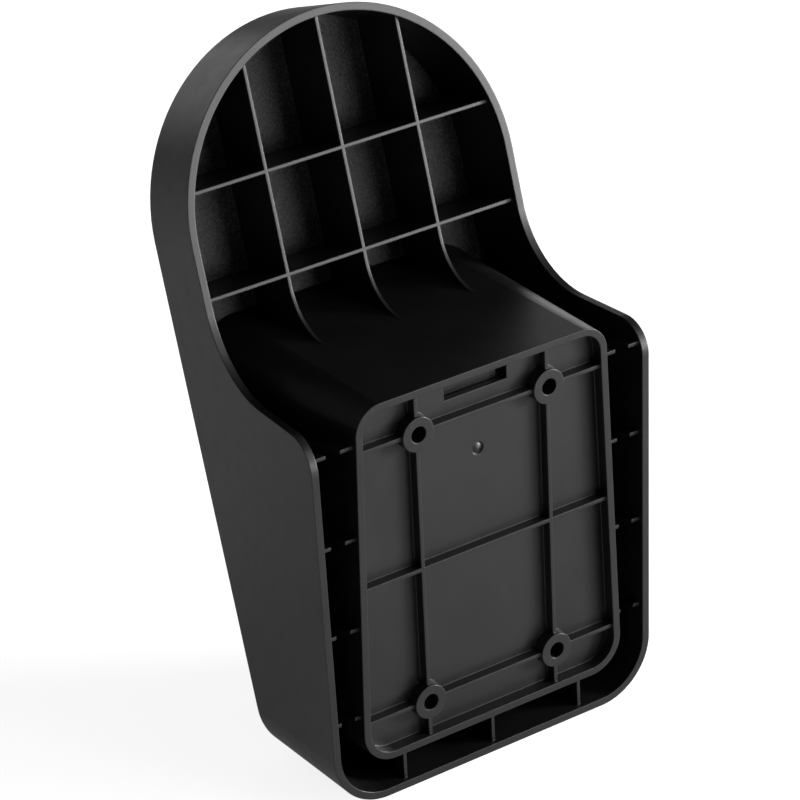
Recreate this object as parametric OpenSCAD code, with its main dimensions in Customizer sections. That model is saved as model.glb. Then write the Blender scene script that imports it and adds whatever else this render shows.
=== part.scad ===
// EV connector holder: a moulded wall bracket with a socket insert in its pocket. Millimetres.
// +Z is up, +Y points at the wall and the wall face is y = 0.
// The origin lies midway between the four wall screw holes.

/* [Wall screws] */
// Screw hole spacing across the wall
bolt_pitch_x = 50.5; // [44:0.5:70]
// Screw hole spacing up the wall
bolt_pitch_z = 96.5; // [80:0.5:130]
// Screw hole diameter
screw_hole_d = 5.6; // [4:0.1:7]
// Plastic around each screw hole
boss_wall = 3.1; // [2:0.1:4.5]

/* [Socket box] */
// Screw centre to the side of the box, at the wall
box_side_margin = 24.7; // [18:0.1:36]
// Top screws to the top of the box
box_top_margin = 15.5; // [14:0.1:26]
// Bottom screws to the underside of the box
box_bottom_margin = 15; // [12:0.1:26]
// Thickness of the box walls
box_wall = 2.5; // [1.8:0.1:4]
// Top corner radius of the box, at the wall
box_corner_r = 9.3; // [6:0.1:14]
// Bottom corner radius of the box, at the wall
box_foot_r = 11.8; // [6:0.1:16]
// Draft of the box sides, degrees
box_draft = 5.8; // [3:0.1:7]

/* [Outer shell] */
// Space between the box and the shell at the sides
side_gap = 11.9; // [9:0.1:20]
// Space between the box and the shell underneath
bottom_gap = 10.6; // [8:0.1:20]
// Thickness of the shell
shell_wall = 2.6; // [1.8:0.1:4]
// Draft of the shell sides and arch, degrees
shell_draft = 3.9; // [1:0.1:5]
// Bottom corner radius of the shell, at the wall
shell_corner_r = 20.3; // [16:0.1:26]
// Fall of the underside toward the front, degrees
shell_fall = 1.8; // [0:0.1:3]
// Rounding of the edge around the front face
front_round = 1.6; // [1:0.1:4]

/* [Front and arch] */
// Lean of the front face, degrees
lean = 15.5; // [8:0.5:20]
// Wall to the rim of the arch, at the height of the origin
rim_offset = 38.5; // [34:0.5:60]
// Depth of the arch cells
cell_depth = 25.2; // [18:0.1:40]
// Thickness of the front wall
front_wall = 2.9; // [2:0.1:4]
// Top of the box to the centre of the arch, along the slope
arch_rise = 36.2; // [32:0.1:60]

/* [Arch ribs] */
// Thickness of the arch ribs
rib_t = 1.2; // [0.8:0.1:2]
// Ribs below the rim of the arch
rib_drop = 2; // [0.5:0.1:4]
// Top of the box to the lower cross rib, along the slope
cross_rib_rise = 18.8; // [15:0.1:26]
// Spacing of the two cross ribs
cross_rib_pitch = 33.9; // [20:0.1:38]
// Radius where the upright ribs run out on the box
tail_r = 18.7; // [12:0.1:22]

/* [Side rim] */
// Top of the box down to the shelf of the side rim
shelf_drop = 6.5; // [3:0.1:12]
// Radius of the shoulder at the wall
shoulder_r = 10.5; // [5:0.1:16]
// Radius from the shelf up to the arch
saddle_r = 31; // [20:0.5:34]

/* [Wall panel] */
// Wall to the panel
panel_drop = 4.5; // [3:0.1:8]
// Thickness of the panel
panel_t = 2.5; // [1.8:0.1:4]
// Thickness of the panel ribs
panel_rib_t = 1.3; // [0.8:0.1:2]
// Panel ribs below the wall face
panel_rib_drop = 1; // [0.3:0.1:2]
// Width of the slot under the top of the box
slot_w = 24.2; // [12:0.1:32]
// Height of the slot
slot_h = 7.4; // [3:0.1:8]
// Diameter of the gate mark
gate_d = 4.4; // [3:0.1:8]
// Depth of the gate mark
gate_depth = 0.5; // [0.3:0.1:1]
// Width of the ring around the domed gate stub
gate_ring = 0.5; // [0.3:0.1:1]
// Top screws down to the gate mark
gate_offset = 15; // [10:0.1:30]

/* [Gap ribs] */
// Thickness of the ribs in the gap
gap_rib_t = 1.2; // [0.8:0.1:2]
// Gap ribs below the wall face
gap_rib_drop = 2; // [0.5:0.1:5]
// Opening in the middle of each side rib
notch_w = 5.3; // [3:0.1:7]
// Top of the box down to the first side rib
side_rib_drop = 12.3; // [11:0.1:18]
// Spacing of the side ribs
side_rib_pitch = 31.9; // [20:0.1:32]
// Spacing of the ribs underneath
bottom_rib_pitch = 35.1; // [15:0.1:36]

/* [Socket insert] */
// Diameter of the socket for the connector's nose
socket_d = 44.4; // [40:0.1:60]
// Depth of the socket
socket_depth = 36; // [25:0.5:42]
// Centre of the socket above the origin, at the front face
socket_rise = 2; // [-8:0.5:8]
// Thickness of the insert's walls
insert_t = 2.6; // [1.8:0.1:4]
// Gap around the insert
insert_gap = 0.3; // [0.2:0.05:0.5]
// Front face to the plate of the insert
insert_recess = 1.2; // [0.5:0.1:4]
// Width of the ring around the socket
ring_w = 4; // [2:0.1:8]
// Width of the latch window above the socket
latch_w = 14; // [8:0.1:20]
// Height of the latch window
latch_h = 7; // [4:0.1:9]
// Panel to the end of the insert's tongue
tongue_gap = 0.5; // [0.3:0.1:1]
// Tongue inside the ends of the slot
tongue_inset = 2; // [0.5:0.1:4]
// Thickness of the tongue
tongue_t = 2.2; // [1.5:0.1:3]

/* [Hidden] */
$fn = 96;

// Rounded to a thousandth, so that faces that meet share their points
function snap(v) = round(v * 1000) / 1000;
// The corner cones stand this far out of the walls that they round, and cross them cleanly
proud = 0.01;
// Larger than the whole piece, for forms that are cut to length
reach = 400;
// Cutters run this far out of the faces that they open
overrun = 5;
// Length of the corner cones to the front, and behind the wall face
cone_front = 180;
cone_back = 15;
// Side of the wedge that a corner cone is cut from
wedge = 90;
// The rounded edge of the front flares this much more than the lean, degrees
face_flare = 7;

ct = cos(lean);
st = sin(lean);
box_k = tan(box_draft);
shell_k = tan(shell_draft);
front_d = -(cell_depth + front_wall);
embed_d = -(cell_depth + front_wall / 2);
// Height above the rim plane of a point of the wall face
function wall_d(z) = rim_offset * ct + z * st;
// The same point measured along the slope
function wall_t(z) = z * ct - rim_offset * st;
back_d = snap(wall_d(bolt_pitch_z) + cone_back + overrun);

box_half = bolt_pitch_x / 2 + box_side_margin;
box_half_0 = box_half + box_k * wall_d(0);
box_top = bolt_pitch_z / 2 + box_top_margin;
box_bottom = -(bolt_pitch_z / 2 + box_bottom_margin);
box_norm = sqrt(1 + box_k * box_k);
// The corners are cones that touch the level top or underside and the drafted sides
top_tilt = atan(box_k * ct / (box_norm - box_k * st));
top_axis_z = box_top - box_corner_r;
top_axis_x = box_half_0 - box_k * wall_d(top_axis_z) - box_corner_r * box_norm;
top_skew = atan(box_k * sin(lean - top_tilt));
bot_tilt = atan(box_k * ct / (box_norm + box_k * st));
bot_axis_z = box_bottom + box_foot_r;
bot_axis_x = box_half_0 - box_k * wall_d(bot_axis_z) - box_foot_r * box_norm;
bot_skew = atan(box_k * sin(lean + bot_tilt));

shell_half_0 = snap(box_half + side_gap + shell_wall - shell_k * wall_d(0));
shell_bottom = box_bottom - bottom_gap - shell_wall;
shell_norm = sqrt(1 + shell_k * shell_k);
// The lean as seen from the underside, which falls a little toward the front
under_lean = lean - shell_fall;
shell_tilt = atan(shell_k * cos(under_lean) / (shell_norm - shell_k * sin(under_lean)));
shell_axis_x = shell_half_0 + shell_k * (wall_d(shell_bottom) + shell_corner_r * sin(under_lean))
    - shell_corner_r * shell_norm;
shell_skew = atan(shell_k * sin(under_lean - shell_tilt));
// Height of the edge where the underside meets the front
toe_z = (shell_bottom + tan(shell_fall) * (front_d / ct - rim_offset)) / (1 + tan(shell_fall) * tan(lean));
// Behind the rounded edge the shell's own walls take over
face_k = tan(lean + face_flare);
face_half_0 = snap(shell_half_0 + shell_k * front_d - face_k * front_d
    + front_round * (sqrt(1 + face_k * face_k) - face_k) - front_round * (shell_norm - shell_k));
face_axis_x = snap(shell_axis_x);
face_axis_t = snap((toe_z - front_d * st) / ct + shell_half_0 + shell_k * front_d - shell_axis_x);
arch_t = snap(box_top / ct + arch_rise);
cross_t = box_top / ct + cross_rib_rise;
shelf_z = box_top - shelf_drop;
rib_pitch = (shell_half_0 - shell_wall - shell_k * cell_depth / 2) / 2;
notch_x = box_half + side_gap / 2;
insert_d = front_d + insert_recess;
socket_t = (socket_rise - front_d * st) / ct;
tube_r = socket_d / 2 + insert_t;
boss_d = screw_hole_d + 2 * boss_wall;
// Radius of the dome that fills the gate mark and just reaches the panel
gate_dome_r = (pow(gate_d / 2 - gate_ring, 2) + pow(gate_depth, 2)) / (2 * gate_depth);

// The frame of the leaning front: y is square to it and z runs up the slope
module slope()
{
    translate([0, -rim_offset, 0]) rotate([lean, 0, 0]) children();
}

// The same frame for sketches in the side view, first axis to the wall, second axis up
module slope_2d()
{
    translate([-rim_offset, 0]) rotate(lean) children();
}

// Sweeps a side view sketch across the piece
module across(w)
{
    rotate([90, 0, 90]) linear_extrude(height = w, center = true) children();
}

// Section from the axis out to one side: r wide at the rim plane, flaring by k toward the wall
module section(r, k, from_d, fillet)
{
    n = sqrt(1 + k * k);
    cy = from_d + fillet;
    cx = snap(r + k * cy - fillet * n);
    far = [snap(r + k * back_d), back_d];
    if (fillet > 0) {
        polygon([[0, from_d], [cx, from_d], [cx, cy], [snap(cx + fillet / n), snap(cy - fillet * k / n)],
            far, [0, back_d]]);
        translate([cx, cy]) circle(r = fillet);
    } else {
        polygon([[0, from_d], [snap(r + k * from_d), from_d], far, [0, back_d]]);
    }
}

// A half section as the two sides above the level t and, turned, as the arch
module arched(from_t)
{
    translate([0, 0, from_t]) linear_extrude(height = arch_t - from_t) {
        children();
        mirror([1, 0]) children();
    }
    translate([0, 0, arch_t]) rotate([-90, 0, 0]) rotate([0, 0, 180])
        rotate_extrude(angle = 180) children();
}

// Cutter that rounds an edge with a cone: tilt and skew set it against the two walls it touches
module corner(x, z, turn, tilt, skew, r, from_s, to_s, side)
{
    translate([x, 0, z]) rotate([turn, 0, 0]) translate([0, 0, from_s])
        difference() {
            linear_extrude(height = to_s - from_s)
                polygon([[0, 0], [wedge * cos(skew), wedge * sin(skew)], [wedge, wedge * side],
                    [0, wedge * side]]);
            cylinder(h = to_s - from_s, r1 = (r + proud) / cos(tilt) + from_s * tan(tilt),
                r2 = (r + proud) / cos(tilt) + to_s * tan(tilt));
        }
}

// What lies below the underside and outside its rounded corners
module under_cut(inset)
{
    translate([0, 0, shell_bottom]) rotate([shell_fall, 0, 0]) {
        translate([-reach, -reach, -reach + inset]) cube([2 * reach, 2 * reach, reach]);
        for (m = [0, 1])
            mirror([m, 0, 0]) corner(shell_axis_x, shell_corner_r, shell_tilt - 90, shell_tilt, shell_skew,
                shell_corner_r - inset, -cone_front, cone_back, 1);
    }
}

// The shell as a solid, set in by the given amount and starting at the given depth
module shell_form(inset, from_d)
{
    difference() {
        slope() arched(-reach / 2) section(shell_half_0 - inset * shell_norm, shell_k, from_d, 0);
        under_cut(inset);
    }
}

// Section of the rounded edge around the front face, from the given distance off the axis
module face_section(from_x)
{
    section(face_half_0 - from_x, face_k, front_d, front_round);
}

// The rounded edge as a flaring solid that the shell is trimmed to
module front_form()
{
    slope() {
        arched(face_axis_t) face_section(0);
        translate([-face_axis_x, 0, face_axis_t]) rotate([0, 90, 0])
            linear_extrude(height = 2 * face_axis_x) face_section(face_axis_x);
        for (m = [0, 1])
            mirror([m, 0, 0]) translate([face_axis_x, 0, face_axis_t]) rotate([-90, 0, 0])
                rotate_extrude(angle = 90) face_section(face_axis_x);
    }
}

// Side view of the rim: wall face, shoulder, shelf, saddle and leaning arch
module rim_profile()
{
    cz = shelf_z + saddle_r;
    cy = (saddle_r - cz * st) / ct - rim_offset;
    knee_y = -(rim_offset + shelf_z * st / ct);
    difference() {
        union() {
            translate([-reach, -reach]) square([reach, reach + shelf_z - shoulder_r]);
            translate([-reach, -reach]) square([reach - shoulder_r, reach + shelf_z]);
            translate([-shoulder_r, shelf_z - shoulder_r]) circle(r = shoulder_r);
            slope_2d() translate([-reach, 0]) square([reach, reach]);
            polygon([[knee_y, shelf_z], [cy, shelf_z], [cy, cz], [cy - saddle_r * ct, cz - saddle_r * st]]);
        }
        translate([cy, cz]) circle(r = saddle_r);
    }
}

// The box as a solid, set in by the given amount and starting at the given depth
module box_form(inset, from_d)
{
    half = box_half_0 - inset * box_norm;
    difference() {
        intersection() {
            slope() translate([0, 0, -reach / 2]) linear_extrude(height = reach)
                polygon([[half - box_k * from_d, from_d], [half - box_k * back_d, back_d],
                    [box_k * back_d - half, back_d], [box_k * from_d - half, from_d]]);
            translate([-reach / 2, -reach, box_bottom + inset])
                cube([reach, reach, box_top - box_bottom - 2 * inset]);
        }
        for (m = [0, 1])
            mirror([m, 0, 0]) {
                corner(top_axis_x, top_axis_z, 90 + top_tilt, top_tilt, top_skew,
                    box_corner_r - inset, -cone_back, cone_front, 1);
                corner(bot_axis_x, bot_axis_z, 90 - bot_tilt, bot_tilt, bot_skew,
                    box_foot_r - inset, -cone_back, cone_front, -1);
            }
    }
}

// Shell with its front wall
module shell()
{
    difference() {
        intersection() {
            shell_form(0, front_d);
            front_form();
            across(reach) rim_profile();
        }
        shell_form(shell_wall, -cell_depth);
    }
}

// Side view of an upright arch rib, running out on top of the box
module tail_profile()
{
    cz = box_top + tail_r;
    cy = (tail_r - rib_drop - cz * st) / ct - rim_offset;
    difference() {
        union() {
            intersection() {
                slope_2d() translate([embed_d, 0]) square([-rib_drop - embed_d, reach]);
                translate([-reach, box_top - box_wall / 2]) square([2 * reach, reach]);
            }
            polygon([[cy - tail_r * ct - rib_t, box_top - box_wall / 2], [cy, box_top - box_wall / 2],
                [cy, box_top], [cy, cz], [cy - tail_r * ct, cz - tail_r * st]]);
        }
        translate([cy, cz]) circle(r = tail_r);
    }
}

// Uprights and cross ribs of the arch
module arch_ribs()
{
    intersection() {
        union() {
            for (i = [-1, 0, 1])
                translate([i * rib_pitch, 0, 0]) across(rib_t) tail_profile();
            slope() for (i = [0, 1])
                translate([-reach / 2, embed_d, cross_t + i * cross_rib_pitch - rib_t / 2])
                    cube([reach, -rib_drop - embed_d, rib_t]);
        }
        shell_form(shell_wall / 2, embed_d);
    }
}

// Panel that closes the box near the wall, with its ribs, slot and gate mark
module panel()
{
    panel_rib_y = -panel_drop - panel_t / 2;
    difference() {
        intersection() {
            box_form(box_wall / 2, front_d);
            union() {
                translate([-reach / 2, -panel_drop - panel_t, -reach / 2]) cube([reach, panel_t, reach]);
                for (i = [-1, 1])
                    translate([i * bolt_pitch_x / 2 - panel_rib_t / 2, panel_rib_y, -reach / 2])
                        cube([panel_rib_t, -panel_rib_drop - panel_rib_y, reach]);
                for (i = [-1, 0, 1])
                    translate([-reach / 2, panel_rib_y, i * bolt_pitch_z / 2 - panel_rib_t / 2])
                        cube([reach, -panel_rib_drop - panel_rib_y, panel_rib_t]);
            }
        }
        translate([-slot_w / 2, -panel_drop - panel_t - overrun, box_top - box_wall - slot_h])
            cube([slot_w, panel_t + 2 * overrun, slot_h]);
        translate([0, -panel_drop, bolt_pitch_z / 2 - gate_offset]) rotate([90, 0, 0])
            difference() {
                cylinder(h = 2 * gate_depth, d = gate_d, center = true);
                translate([0, 0, gate_dome_r]) sphere(r = gate_dome_r);
            }
    }
    for (x = [-1, 1], z = [-1, 1])
        translate([x * bolt_pitch_x / 2, 0, z * bolt_pitch_z / 2]) rotate([90, 0, 0])
            cylinder(h = panel_drop + panel_t / 2, d = boss_d);
}

// Ribs between the box and the shell
module gap_ribs()
{
    difference() {
        intersection() {
            union() {
                for (i = [0 : 3])
                    slope() translate([-reach / 2, embed_d,
                        wall_t(box_top - side_rib_drop - i * side_rib_pitch) - gap_rib_t / 2])
                        cube([reach, back_d - embed_d, gap_rib_t]);
                for (i = [-1, 0, 1])
                    translate([i * bottom_rib_pitch - gap_rib_t / 2, -reach, shell_bottom])
                        cube([gap_rib_t, reach, box_bottom + box_wall / 2 - shell_bottom]);
            }
            shell_form(shell_wall / 2, embed_d);
            translate([-reach / 2, -reach - gap_rib_drop, -reach / 2]) cube([reach, reach, reach]);
        }
        for (m = [0, 1])
            mirror([m, 0, 0]) translate([notch_x - notch_w / 2, -reach, -reach / 4])
                cube([notch_w, 2 * reach, reach]);
        box_form(box_wall / 2, front_d - overrun);
    }
}

// The moulded bracket
module holder()
{
    color("#2b2c2e") difference() {
        union() {
            shell();
            box_form(0, embed_d);
            arch_ribs();
            gap_ribs();
        }
        difference() {
            box_form(box_wall, front_d - overrun);
            panel();
        }
        for (x = [-1, 1], z = [-1, 1])
            translate([x * bolt_pitch_x / 2, overrun, z * bolt_pitch_z / 2]) rotate([90, 0, 0])
                cylinder(h = panel_drop + panel_t + 2 * overrun, d = screw_hole_d);
    }
}

// Turns a form so that it stands on the leaning front and runs in from there
module from_front(d, t)
{
    slope() translate([0, d, t]) rotate([-90, 0, 0]) children();
}

// Tongue along the top of the pocket, whose end fills the slot from inside
module tongue()
{
    half = slot_w / 2 - tongue_inset;
    end_y = -panel_drop - panel_t - tongue_gap;
    top_z = box_top - box_wall - insert_gap;
    intersection() {
        translate([-half, end_y - reach, top_z - tongue_t]) cube([2 * half, reach, tongue_t]);
        slope() translate([-reach / 2, insert_d + insert_t / 2, -reach / 2]) cube([reach, reach, reach]);
    }
    translate([-half, end_y - tongue_t, box_top - box_wall - slot_h])
        cube([2 * half, tongue_t, slot_h - insert_gap]);
}

// Plate, socket cup and tongue, pushed into the pocket from the front
module socket_insert()
{
    lead = insert_t / 2;
    color("#26272a") difference() {
        union() {
            intersection() {
                box_form(box_wall + insert_gap, front_d);
                slope() translate([-reach / 2, insert_d, -reach / 2]) cube([reach, insert_t, reach]);
            }
            from_front(front_d, socket_t) cylinder(h = insert_recess + insert_t / 2, r = tube_r + ring_w);
            from_front(insert_d, socket_t) cylinder(h = socket_depth + insert_t, r = tube_r);
            tongue();
        }
        from_front(front_d - overrun, socket_t)
            cylinder(h = overrun + insert_recess + socket_depth, d = socket_d);
        from_front(front_d - overrun, socket_t)
            cylinder(h = overrun + lead, r1 = socket_d / 2 + lead + overrun, r2 = socket_d / 2);
        from_front(insert_d - overrun, socket_t + tube_r + ring_w + insert_t)
            translate([-latch_w / 2, -latch_h, 0]) cube([latch_w, latch_h, insert_t + 2 * overrun]);
    }
}

holder();
socket_insert();
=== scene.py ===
"""Looks of the EV connector holder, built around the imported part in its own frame, in metres."""
import math

import bpy
from mathutils import Matrix, Vector


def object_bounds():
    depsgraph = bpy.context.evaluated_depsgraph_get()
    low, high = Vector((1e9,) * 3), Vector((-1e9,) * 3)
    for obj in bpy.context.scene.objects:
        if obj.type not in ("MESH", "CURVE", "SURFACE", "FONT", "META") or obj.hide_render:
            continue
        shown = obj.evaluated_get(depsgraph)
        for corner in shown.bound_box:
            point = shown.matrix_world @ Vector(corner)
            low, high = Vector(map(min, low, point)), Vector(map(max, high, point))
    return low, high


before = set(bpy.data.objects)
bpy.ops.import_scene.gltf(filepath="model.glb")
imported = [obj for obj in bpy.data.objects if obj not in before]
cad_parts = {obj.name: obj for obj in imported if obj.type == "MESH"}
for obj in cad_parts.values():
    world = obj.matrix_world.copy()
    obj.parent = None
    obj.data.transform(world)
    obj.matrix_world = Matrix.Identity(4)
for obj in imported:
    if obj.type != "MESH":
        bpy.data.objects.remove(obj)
cad_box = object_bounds()
MM = 0.001

# Camera, at the photograph's viewing angle: the azimuth turns from the wall side toward +X
CAMERA_AZIMUTH = math.radians(34.0)
CAMERA_ELEVATION = math.radians(27.15)
CAMERA_ROLL = math.radians(-2.83)
CAMERA_DISTANCE = 1.2265
CAMERA_TARGET = Vector((9.66, -32.5, 42.35)) * MM
CAMERA_SENSOR = 36.0
CAMERA_LENS = 173.94

# Leaning arch: its angle, how far in front of the wall its rim plane lies at z = 0, its cells' depth
LEAN = math.radians(15.5)
RIM_OFFSET = 38.5 * MM
CELL_DEPTH = 25.2 * MM

# Colours of the plastic: its uneven black, the coarse spark grain in the arch cells, whose light colour
# is also painted light on the cell floors, the rubbed edges
PLASTIC_DARK = (0.005, 0.005, 0.005, 1.0)
PLASTIC_LIGHT = (0.01, 0.01, 0.01, 1.0)
SPARK_DARK = (0.010, 0.010, 0.010, 1.0)
# The light spark colour is much lighter than the plastic: real grain, and painted light falling on the
# cell floors
SPARK_GRAIN_AND_PAINTED_LIGHT = (0.075, 0.075, 0.075, 1.0)
EDGE_RUB = (0.022, 0.022, 0.022, 1.0)

# Widths of the grains and patches in the surface
FINE_GRAIN = 0.35 * MM
SPARK_GRAIN = 0.75 * MM
RUB_PATCH = 3 * MM
GLOSS_PATCH = 5 * MM
COLOUR_PATCH = 28 * MM

# Noise levels at which each of them starts and is full; gloss adds two noises
SPARK_LEVELS = (0.4, 0.65)
RUB_LEVELS = (0.35, 0.7)
GLOSS_LEVELS = (0.6, 1.4)
COLOUR_LEVELS = (0.3, 0.7)

# Lowest and highest roughness of each node's surface, and what edges lose and spark grain adds
SATIN = {"holder": (0.36, 0.44), "socket_insert": (0.25, 0.32)}
EDGE_POLISH = 0.09
SPARK_ROUGHNESS = 0.06

# Depth of the two grains, and how much of the fine one shows
FINE_DEPTH = 0.03 * MM
FINE_STRENGTH = 0.25
SPARK_DEPTH = 0.2 * MM

# Edges: the radius that they are shaded with, how far they turn away from the face, by cosine, where
# the rub starts and is full, and the least and greatest share of it along them
EDGE_RADIUS = 0.5 * MM
EDGE_SAMPLES = 6
EDGE_TURN = (0.97, 0.80)
RUB_SHARE = (0.1, 0.8)

# Cell floors: the distance from their plane at which the spark grain and its painted light are full and
# have ended, and how squarely a face looks out, by cosine, where it starts and is full
CELL_FLOOR_BAND = (0.2 * MM, 0.6 * MM)
CELL_FLOOR_FACING = (0.9, 0.98)

# Floor and background
FLOOR_SIZE = 6.0
FLOOR_GAP = 0.1 * MM
FLOOR_COLOUR = (0.8, 0.8, 0.8, 1.0)
WHITE = (1.0, 1.0, 1.0, 1.0)
# How bright each shows to the camera, in reflections, and as an even light on the part
FLOOR_SHOWN = 0.85
FLOOR_MIRRORED = 0.22
FLOOR_LIGHT = 0.0
WORLD_SHOWN = 1.0
WORLD_MIRRORED = 0.09
WORLD_LIGHT = 0.08

# Soft boxes: name, azimuth from the wall side toward +X, elevation, width, height, power in watts
LAMP_DISTANCE = 1.8
LAMPS = (
    ("key_box", 304, 6, 0.55, 0.5, 47.0),
    ("high_box", 330, 45, 0.6, 0.6, 3.0),
    ("wide_box", 335, 7, 0.9, 0.5, 8.0),
    ("front_box", 225, 8, 0.7, 0.6, 2.5),
    ("rim_box", 182, 9, 1.0, 0.6, 2.0),
)

# Places of the colour sockets on a mix node, whose names it uses more than once
MIX_FACTOR = 0
MIX_FIRST = 6
MIX_SECOND = 7
MIX_RESULT = 2


def add_node(tree, kind, settings=None, inputs=None):
    """A new node with its settings, and its inputs as constants or as links from other sockets."""
    made = tree.nodes.new(kind)
    for name, value in (settings or {}).items():
        setattr(made, name, value)
    for name, value in (inputs or {}).items():
        if isinstance(value, bpy.types.NodeSocket):
            tree.links.new(value, made.inputs[name])
        else:
            made.inputs[name].default_value = value
    return made


def noise(tree, where, grain, detail=2.0, roughness=0.5):
    """Noise whose grains are about as wide as the given length, from 0 to 1."""
    values = {"Vector": where, "Scale": 1.0 / grain, "Detail": detail, "Roughness": roughness}
    return add_node(tree, "ShaderNodeTexNoise", inputs=values).outputs["Fac"]


def span(tree, value, source, target=(0.0, 1.0)):
    """The value, taken from one range to another and held inside it."""
    values = {"Value": value, "From Min": source[0], "From Max": source[1]}
    values.update({"To Min": target[0], "To Max": target[1]})
    return add_node(tree, "ShaderNodeMapRange", {"clamp": True}, values).outputs["Result"]


def maths(tree, operation, *values):
    """One operation on one or two values."""
    return add_node(tree, "ShaderNodeMath", {"operation": operation}, dict(enumerate(values))).outputs[0]


def along(tree, first, second):
    """The dot product of two vectors."""
    settings = {"operation": "DOT_PRODUCT"}
    return add_node(tree, "ShaderNodeVectorMath", settings, {0: first, 1: second}).outputs["Value"]


def blended(tree, factor, first, second):
    """Two colours mixed by a factor."""
    values = {MIX_FACTOR: factor, MIX_FIRST: first, MIX_SECOND: second}
    return add_node(tree, "ShaderNodeMix", {"data_type": "RGBA"}, values).outputs[MIX_RESULT]


def new_material(name):
    """An empty node material and its output node."""
    material = bpy.data.materials.new(name)
    material.use_nodes = True
    material.node_tree.nodes.clear()
    return material, add_node(material.node_tree, "ShaderNodeOutputMaterial")


def cell_floor_mask(tree, place):
    """One on the floors of the arch cells, which keep the coarse spark grain of the mould and its
    painted light.
    """
    slope = (0.0, math.cos(LEAN), math.sin(LEAN))
    height = along(tree, place["Object"], slope)
    above_floor = maths(tree, "ADD", height, RIM_OFFSET * math.cos(LEAN) + CELL_DEPTH)
    off_floor = maths(tree, "ABSOLUTE", above_floor)
    at_floor = span(tree, off_floor, CELL_FLOOR_BAND, (1.0, 0.0))
    facing_out = span(tree, along(tree, place["Normal"], slope), CELL_FLOOR_FACING)
    return maths(tree, "MULTIPLY", at_floor, facing_out)


def moulded_plastic(name, roughness):
    """Black moulded plastic: satin with a fine grain, rubbed edges, coarser grain in the cells, lighter
    there as painted light.
    """
    material, output = new_material(name)
    tree = material.node_tree
    place = add_node(tree, "ShaderNodeTexCoord").outputs
    where = place["Object"]
    floor_mask = cell_floor_mask(tree, place)
    fine = noise(tree, where, FINE_GRAIN)
    coarse = noise(tree, where, SPARK_GRAIN, roughness=0.6)
    cloud = noise(tree, where, COLOUR_PATCH, detail=3.0)
    mottle = noise(tree, where, GLOSS_PATCH)
    rub_cloud = noise(tree, where, RUB_PATCH)

    edge_inputs = {"Radius": EDGE_RADIUS}
    rounded = add_node(tree, "ShaderNodeBevel", {"samples": EDGE_SAMPLES}, edge_inputs).outputs["Normal"]
    flat = add_node(tree, "ShaderNodeNewGeometry").outputs["Normal"]
    edge = span(tree, along(tree, rounded, flat), EDGE_TURN)
    rub = maths(tree, "MULTIPLY", edge, span(tree, rub_cloud, RUB_LEVELS, RUB_SHARE))

    body = blended(tree, span(tree, cloud, COLOUR_LEVELS), PLASTIC_DARK, PLASTIC_LIGHT)
    # Coarse spark grain on the cell floors, with its light colour partly painted light falling on them
    spark_grain_and_painted_light = blended(tree, span(tree, coarse, SPARK_LEVELS), SPARK_DARK, SPARK_GRAIN_AND_PAINTED_LIGHT)
    colour = blended(tree, rub, blended(tree, floor_mask, body, spark_grain_and_painted_light), EDGE_RUB)
    satin = span(tree, maths(tree, "ADD", mottle, fine), GLOSS_LEVELS, roughness)
    worn = maths(tree, "SUBTRACT", satin, maths(tree, "MULTIPLY", edge, EDGE_POLISH))
    rough = maths(tree, "ADD", worn, maths(tree, "MULTIPLY", floor_mask, SPARK_ROUGHNESS))

    grain = add_node(tree, "ShaderNodeBump", inputs={
        "Strength": FINE_STRENGTH, "Distance": FINE_DEPTH, "Height": fine, "Normal": rounded})
    spark = add_node(tree, "ShaderNodeBump", inputs={
        "Strength": floor_mask, "Distance": SPARK_DEPTH,
        "Height": coarse, "Normal": grain.outputs["Normal"]})
    shader = add_node(tree, "ShaderNodeBsdfPrincipled", inputs={
        "Base Color": colour, "Roughness": rough, "Normal": spark.outputs["Normal"]})
    tree.links.new(shader.outputs["BSDF"], output.inputs["Surface"])
    return material


def shown_level(tree, shown, mirrored, light):
    """A background's strength: to the camera and through glass, in reflections, and as a light."""
    path = add_node(tree, "ShaderNodeLightPath").outputs
    direct = maths(tree, "MAXIMUM", path["Is Camera Ray"], path["Is Transmission Ray"])
    unseen = span(tree, path["Is Glossy Ray"], (0.0, 1.0), (light, mirrored))
    direct_part = maths(tree, "MULTIPLY", direct, shown)
    other_part = maths(tree, "MULTIPLY", unseen, maths(tree, "SUBTRACT", 1.0, direct))
    return maths(tree, "ADD", direct_part, other_part)


def floor_material():
    """Pale floor that shows as white, and still takes the part's shadow."""
    material, output = new_material("pale_floor")
    tree = material.node_tree
    paint = add_node(tree, "ShaderNodeBsdfDiffuse", inputs={"Color": FLOOR_COLOUR})
    level = shown_level(tree, FLOOR_SHOWN, FLOOR_MIRRORED, FLOOR_LIGHT)
    glow = add_node(tree, "ShaderNodeEmission", inputs={"Color": WHITE, "Strength": level})
    lit = add_node(tree, "ShaderNodeAddShader", inputs={0: paint.outputs[0], 1: glow.outputs[0]})
    tree.links.new(lit.outputs[0], output.inputs["Surface"])
    return material


def make_floor():
    """A wide flat floor just under the part."""
    level = cad_box[0].z - FLOOR_GAP
    half = FLOOR_SIZE / 2
    corners = [(-half, -half, level), (half, -half, level), (half, half, level), (-half, half, level)]
    mesh = bpy.data.meshes.new("floor")
    mesh.from_pydata(corners, [], [(0, 1, 2, 3)])
    floor = bpy.data.objects.new("floor", mesh)
    bpy.context.scene.collection.objects.link(floor)
    floor.data.materials.append(floor_material())


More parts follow.
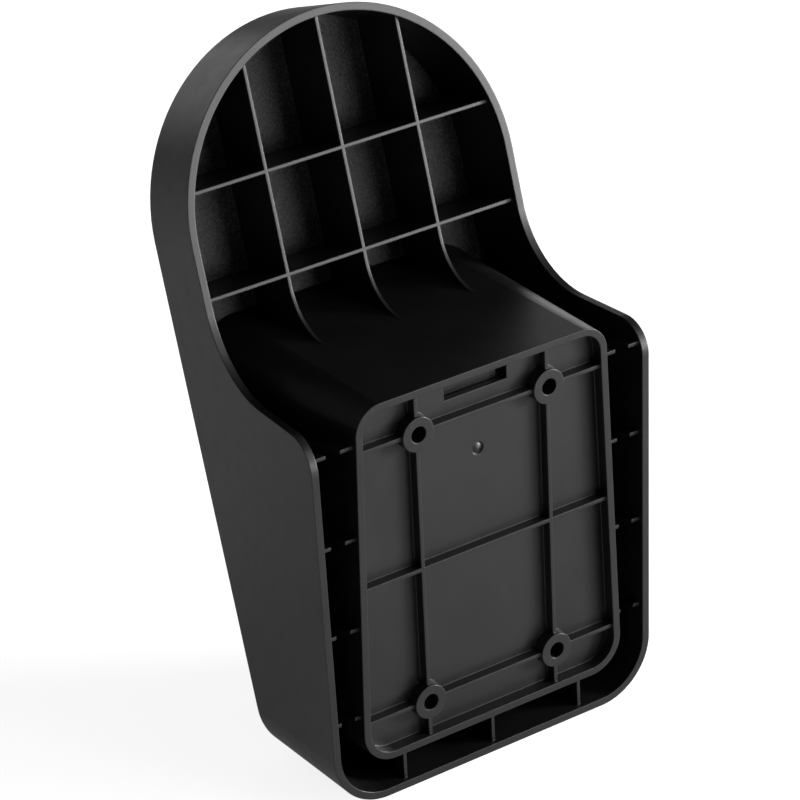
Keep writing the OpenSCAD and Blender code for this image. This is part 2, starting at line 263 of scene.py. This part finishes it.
def make_world():
    """White where the background shows, and a weak even light elsewhere."""
    world = bpy.data.worlds.new("studio")
    bpy.context.scene.world = world
    world.use_nodes = True
    tree = world.node_tree
    tree.nodes.clear()
    level = shown_level(tree, WORLD_SHOWN, WORLD_MIRRORED, WORLD_LIGHT)
    background = add_node(tree, "ShaderNodeBackground", inputs={"Color": WHITE, "Strength": level})
    output = add_node(tree, "ShaderNodeOutputWorld")
    tree.links.new(background.outputs[0], output.inputs["Surface"])


def direction(azimuth, elevation):
    """The way out from the part: azimuth from the wall side toward +X, elevation above the floor."""
    level = math.cos(elevation)
    return Vector((math.sin(azimuth) * level, math.cos(azimuth) * level, math.sin(elevation)))


def make_lamps():
    """Soft boxes that face the middle of the part."""
    middle = (cad_box[0] + cad_box[1]) / 2
    for name, azimuth, elevation, width, height, power in LAMPS:
        light = bpy.data.lights.new(name, "AREA")
        light.shape = "RECTANGLE"
        light.size = width
        light.size_y = height
        light.energy = power
        lamp = bpy.data.objects.new(name, light)
        bpy.context.scene.collection.objects.link(lamp)
        away = direction(math.radians(azimuth), math.radians(elevation))
        lamp.location = middle + away * LAMP_DISTANCE
        lamp.rotation_euler = (-away).to_track_quat("-Z", "Y").to_euler()


def make_camera():
    """The photograph's camera: it looks at the target point, turned a little about its own axis."""
    back = direction(CAMERA_AZIMUTH, CAMERA_ELEVATION)
    right = Vector((0, 0, 1)).cross(back).normalized()
    up = back.cross(right)
    data = bpy.data.cameras.new("camera")
    data.sensor_width = CAMERA_SENSOR
    data.lens = CAMERA_LENS
    camera = bpy.data.objects.new("camera", data)
    bpy.context.scene.collection.objects.link(camera)
    turn = Matrix((right, up, back)).transposed() @ Matrix.Rotation(CAMERA_ROLL, 3, "Z")
    camera.matrix_world = Matrix.Translation(CAMERA_TARGET + back * CAMERA_DISTANCE) @ turn.to_4x4()
    bpy.context.scene.camera = camera


bpy.context.scene.view_settings.view_transform = "Standard"
for node_name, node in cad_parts.items():
    plastic = moulded_plastic(node_name + "_plastic", SATIN[node_name])
    for slot in node.material_slots:
        slot.material = plastic
make_floor()
make_world()
make_lamps()
make_camera()
